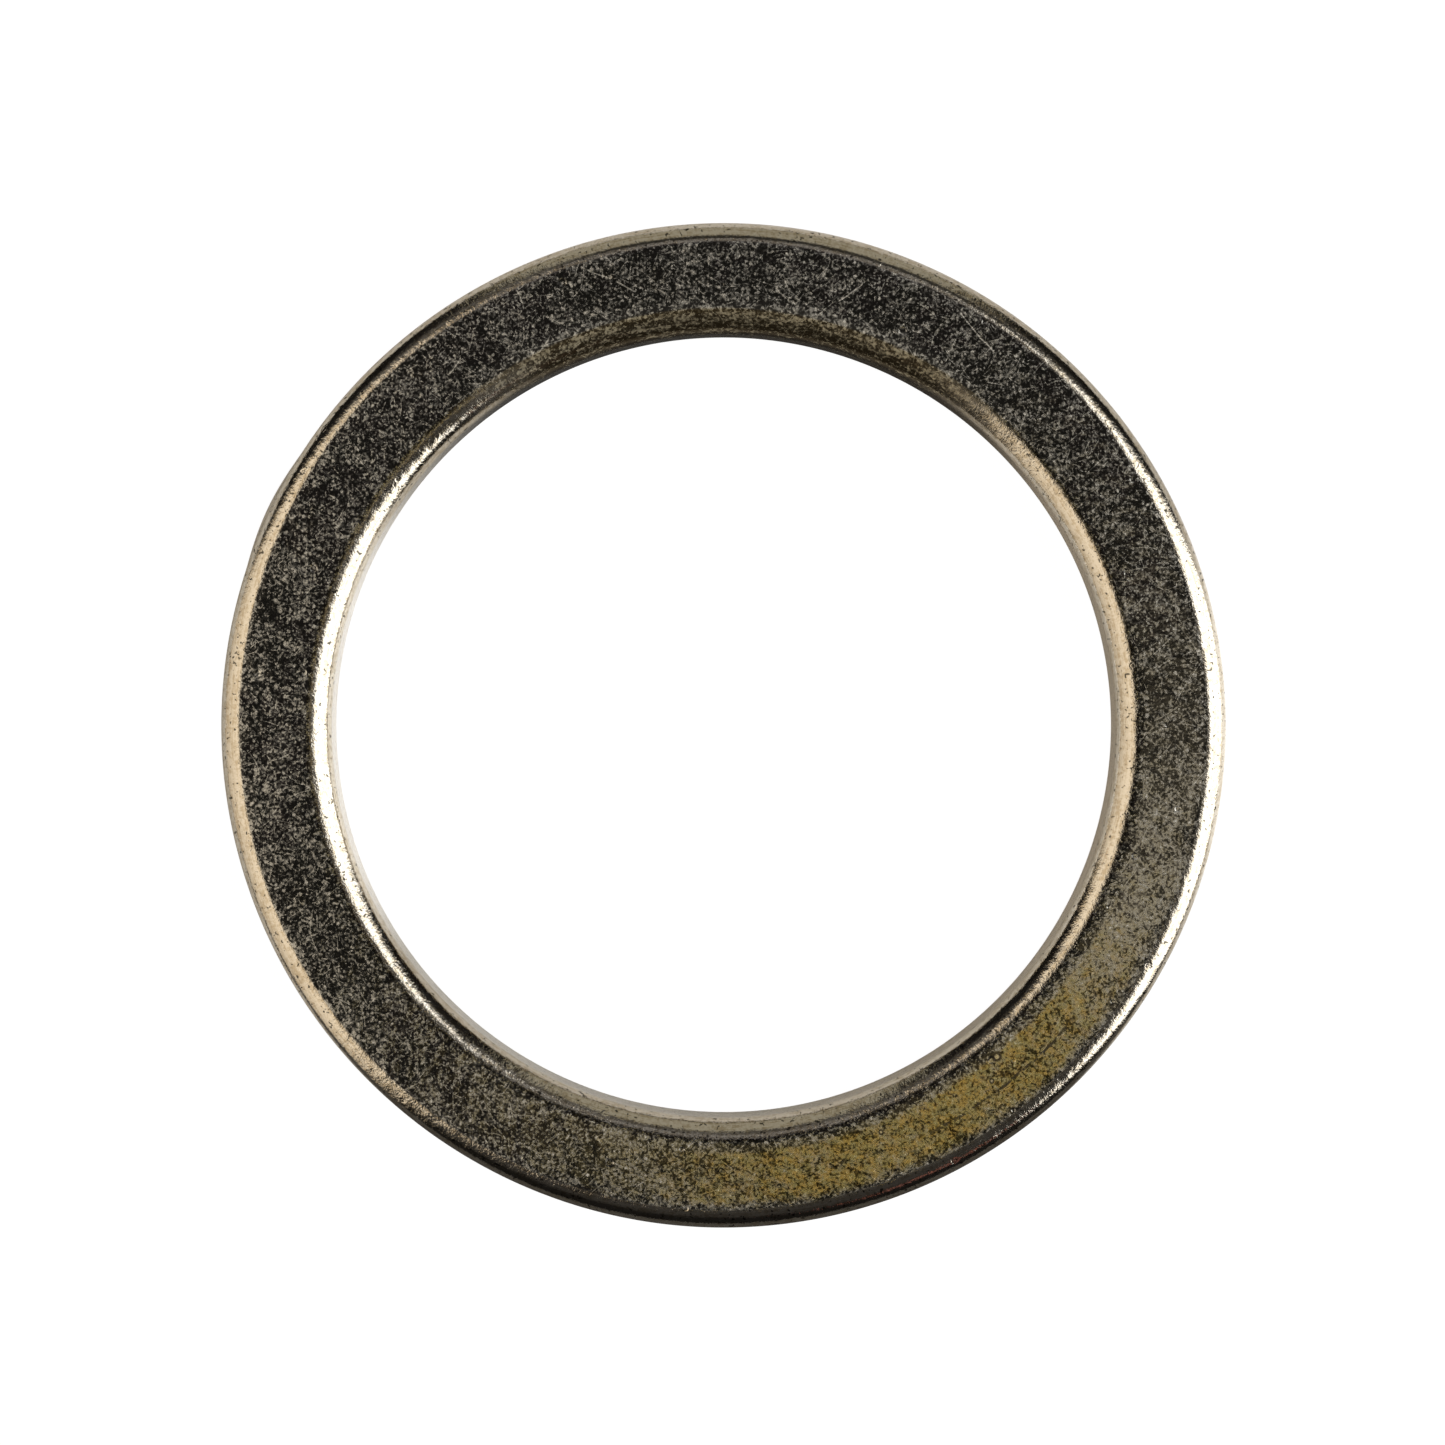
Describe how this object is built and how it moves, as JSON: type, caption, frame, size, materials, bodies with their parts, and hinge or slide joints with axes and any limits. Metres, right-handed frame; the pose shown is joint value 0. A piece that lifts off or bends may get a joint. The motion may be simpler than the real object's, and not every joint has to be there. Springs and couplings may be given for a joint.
{
  "type": "flat washer",
  "caption": "Flat metal washer: a plain ring with a wide round bore, a narrow flat rim and rolled upper edges.",
  "frame": {"origin": "centre of the bore, on the lower face that the washer rests on", "axes": "+Z along the bore's axis, from the lower face to the upper face, whose edges are rolled; +X and +Y lie in the plane of the ring, which is round about Z"},
  "size_m": [0.026, 0.0258, 0.002],
  "materials": {
    "plated_steel": "bright plated steel, slightly warm, tumbled: near-mirror under fine pits, dull flecks and hair scratches"
  },
  "bodies": {
    "root": {"washer_ring": "plated_steel"}
  },
  "joints": []
}
